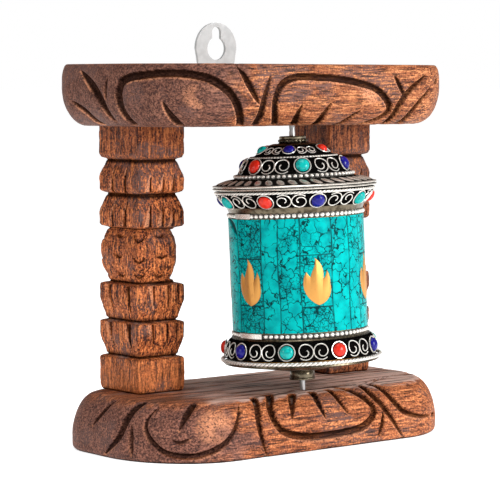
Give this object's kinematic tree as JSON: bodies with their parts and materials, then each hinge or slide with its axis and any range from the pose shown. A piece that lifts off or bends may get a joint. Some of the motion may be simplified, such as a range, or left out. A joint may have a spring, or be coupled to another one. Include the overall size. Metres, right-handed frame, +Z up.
{
  "type": "prayer wheel",
  "caption": "Hand prayer wheel with a stone-inlaid drum, turning on a rod between the boards of a carved wooden stand that stands or hangs on a wall.",
  "frame": {"origin": "on the underside of the base board, midway along it, 45 mm in front of its flat back", "axes": "+Z up, +X along the boards from the left post to the right post, -Y towards the front where the drum stands out"},
  "size_m": [0.21, 0.115, 0.2202],
  "materials": {
    "wood": "carved, oiled reddish-brown hardwood",
    "steel": "plain, slightly dull",
    "silver": "white metal, polished on the high parts and blackened in the hollows",
    "brass": "polished, lightly worn",
    "turquoise": "polished mosaic with dark veins",
    "coral": "polished cabochon",
    "lapis": "polished cabochon",
    "paper": "matt rolled paper"
  },
  "bodies": {
    "stand": {"base_board": "wood", "top_board": "wood", "left_post": "wood", "right_post": "wood", "hanger_plate": "steel", "base_screw_left": "steel", "base_screw_right": "steel", "top_screw_left": "steel", "top_screw_right": "steel", "hanger_screw_upper": "steel", "hanger_screw_lower": "steel"},
    "wheel": {"axle_rod": "steel", "bottom_bush": "silver", "bottom_plate": "silver", "rope_edge": "silver", "lower_band": "silver", "lower_bead_ring": "silver", "turquoise_shell": "turquoise", "brass_flame_1": "brass", "brass_flame_2": "brass", "brass_flame_3": "brass", "brass_flame_4": "brass", "brass_flame_5": "brass", "brass_flame_6": "brass", "drum_tube": "brass", "mantra_roll": "paper", "upper_bead_ring": "silver", "upper_band": "silver", "cap_skirt": "silver", "tier_bead_ring": "silver", "lower_tier": "silver", "upper_tier": "silver", "top_collar": "silver", "upper_band_stone_1": "lapis", "upper_band_stone_2": "turquoise", "upper_band_stone_3": "coral", "upper_band_stone_4": "lapis", "upper_band_stone_5": "turquoise", "upper_band_stone_6": "coral", "upper_band_stone_7": "lapis", "upper_band_stone_8": "turquoise", "upper_band_stone_9": "coral", "lower_band_stone_1": "coral", "lower_band_stone_2": "lapis", "lower_band_stone_3": "turquoise", "lower_band_stone_4": "coral", "lower_band_stone_5": "lapis", "lower_band_stone_6": "turquoise", "lower_band_stone_7": "coral", "lower_band_stone_8": "lapis", "lower_band_stone_9": "turquoise", "tier_stone_1": "lapis", "tier_stone_2": "coral", "tier_stone_3": "turquoise", "tier_stone_4": "lapis", "tier_stone_5": "coral", "tier_stone_6": "turquoise"}
  },
  "joints": [
    {"name": "wheel_spin", "type": "hinge", "parent": "stand", "child": "wheel", "pos_m": [0.0003, -0.0272, 0.029], "axis": [-0.0255, 0.035, 0.9991], "continuous": true}
  ]
}
